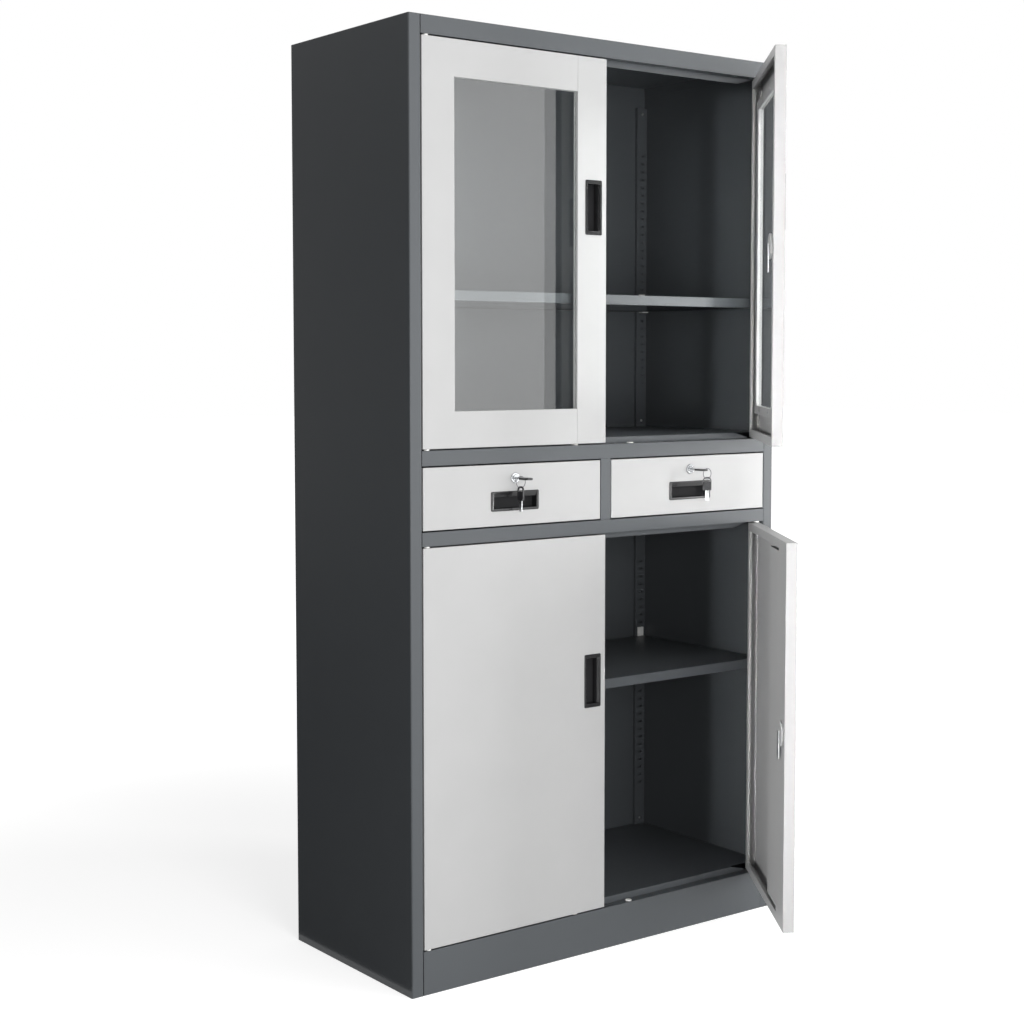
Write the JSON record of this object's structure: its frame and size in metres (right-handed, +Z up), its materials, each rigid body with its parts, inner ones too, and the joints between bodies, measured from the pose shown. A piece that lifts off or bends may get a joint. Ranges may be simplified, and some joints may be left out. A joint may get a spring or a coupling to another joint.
{
  "type": "metal office cabinet",
  "caption": "Tall folded-sheet office cabinet with glazed upper doors, a row of drawers, solid lower doors, adjustable shelves, recessed pulls and keyed cam locks.",
  "frame": {"origin": "on the floor under the middle of the carcass", "axes": "+X to the right seen from the front, +Y to the back, +Z up; the doors face -Y"},
  "size_m": [0.95, 0.7821, 1.85],
  "materials": {
    "graphite_paint": "fine satin powder coat",
    "light_grey_paint": "fine satin powder coat",
    "glass": "clear polished",
    "graphite_plastic": "fine moulded texture",
    "black_plastic": "moulded key bow with a plated blade",
    "white_plastic": "smooth moulded",
    "chrome": "bright plated",
    "plated_steel": "zinc plated"
  },
  "bodies": {
    "cabinet": {"left_side_panel": "graphite_paint", "right_side_panel": "graphite_paint", "back_panel": "graphite_paint", "top_panel": "graphite_paint", "upper_deck": "graphite_paint", "lower_deck": "graphite_paint", "drawer_divider": "graphite_paint", "floor_pan": "graphite_paint", "shelf_uprights": "graphite_paint", "upright_screws": "plated_steel", "upper_shelf": "graphite_paint", "lower_shelf": "graphite_paint", "shelf_clips": "white_plastic", "hinge_pins": "plated_steel", "hinge_bushes": "white_plastic", "glide_buttons": "white_plastic", "drawer_cabinet_runners": "plated_steel"},
    "upper_left_door": {"upper_left_door_frame": "light_grey_paint", "upper_left_door_lock_stile": "light_grey_paint", "upper_left_door_glass": "glass", "upper_left_door_glazing_beads": "light_grey_paint", "upper_left_door_pull": "graphite_plastic"},
    "upper_right_door": {"upper_right_door_frame": "light_grey_paint", "upper_right_door_lock_stile": "light_grey_paint", "upper_right_door_glass": "glass", "upper_right_door_glazing_beads": "light_grey_paint", "upper_right_door_pull": "graphite_plastic", "upper_right_door_lock_case": "chrome"},
    "upper_right_door_lock": {"upper_right_door_lock_plug": "chrome", "upper_right_door_lock_cam": "plated_steel"},
    "lower_left_door": {"lower_left_door_pan": "light_grey_paint", "lower_left_door_stiffener": "light_grey_paint", "lower_left_door_pull": "graphite_plastic"},
    "lower_right_door": {"lower_right_door_pan": "light_grey_paint", "lower_right_door_stiffener": "light_grey_paint", "lower_right_door_pull": "graphite_plastic", "lower_right_door_lock_case": "chrome"},
    "lower_right_door_lock": {"lower_right_door_lock_plug": "chrome", "lower_right_door_lock_cam": "plated_steel"},
    "left_drawer": {"left_drawer_front": "light_grey_paint", "left_drawer_tray": "light_grey_paint", "left_drawer_pull": "graphite_plastic", "left_drawer_runners": "plated_steel", "left_drawer_lock_case": "chrome"},
    "left_drawer_lock": {"left_drawer_lock_plug": "chrome", "left_drawer_lock_cam": "plated_steel", "left_drawer_key": "black_plastic"},
    "left_key_ring": {"left_drawer_key_ring": "plated_steel", "left_drawer_spare_key": "black_plastic"},
    "right_drawer": {"right_drawer_front": "light_grey_paint", "right_drawer_tray": "light_grey_paint", "right_drawer_pull": "graphite_plastic", "right_drawer_runners": "plated_steel", "right_drawer_lock_case": "chrome"},
    "right_drawer_lock": {"right_drawer_lock_plug": "chrome", "right_drawer_lock_cam": "plated_steel", "right_drawer_key": "black_plastic"},
    "right_key_ring": {"right_drawer_key_ring": "plated_steel", "right_drawer_spare_key": "black_plastic"}
  },
  "joints": [
    {"name": "upper_left_door_hinge", "type": "hinge", "parent": "cabinet", "child": "upper_left_door", "pos_m": [-0.434, -0.209, 0], "axis": [0, 0, -1], "range_deg": [0, 110]},
    {"name": "upper_right_door_hinge", "type": "hinge", "parent": "cabinet", "child": "upper_right_door", "pos_m": [0.434, -0.209, 0], "axis": [0, 0, 1], "range_deg": [-51, 59]},
    {"name": "upper_right_door_lock_turn", "type": "hinge", "parent": "upper_right_door", "child": "upper_right_door_lock", "pos_m": [0.18693, -0.52363, 1.432], "axis": [-0.7771, 0.6293, 0], "range_deg": [0, 90]},
    {"name": "lower_left_door_hinge", "type": "hinge", "parent": "cabinet", "child": "lower_left_door", "pos_m": [-0.434, -0.209, 0], "axis": [0, 0, -1], "range_deg": [0, 110]},
    {"name": "lower_right_door_hinge", "type": "hinge", "parent": "cabinet", "child": "lower_right_door", "pos_m": [0.434, -0.209, 0], "axis": [0, 0, 1], "range_deg": [-55, 55]},
    {"name": "lower_right_door_lock_turn", "type": "hinge", "parent": "lower_right_door", "child": "lower_right_door_lock", "pos_m": [0.20948, -0.5401, 0.478], "axis": [-0.8192, 0.5736, 0], "range_deg": [0, 90]},
    {"name": "left_drawer_slide", "type": "slide", "parent": "cabinet", "child": "left_drawer", "axis": [0, -1, 0], "range_m": [0, 0.3]},
    {"name": "left_drawer_lock_turn", "type": "hinge", "parent": "left_drawer", "child": "left_drawer_lock", "pos_m": [-0.2305, -0.215, 0.983], "axis": [0, 1, 0], "range_deg": [0, 90]},
    {"name": "left_key_ring_swing", "type": "hinge", "parent": "left_drawer", "child": "left_key_ring", "pos_m": [-0.2305, -0.234, 0.983], "axis": [0, 1, 0], "range_deg": [-45, 45]},
    {"name": "right_drawer_slide", "type": "slide", "parent": "cabinet", "child": "right_drawer", "axis": [0, -1, 0], "range_m": [0, 0.3]},
    {"name": "right_drawer_lock_turn", "type": "hinge", "parent": "right_drawer", "child": "right_drawer_lock", "pos_m": [0.2305, -0.215, 0.983], "axis": [0, 1, 0], "range_deg": [0, 90]},
    {"name": "right_key_ring_swing", "type": "hinge", "parent": "right_drawer_lock", "child": "right_key_ring", "pos_m": [0.2385, -0.26, 0.9751], "axis": [0, 1, 0], "range_deg": [-90, 30]}
  ]
}
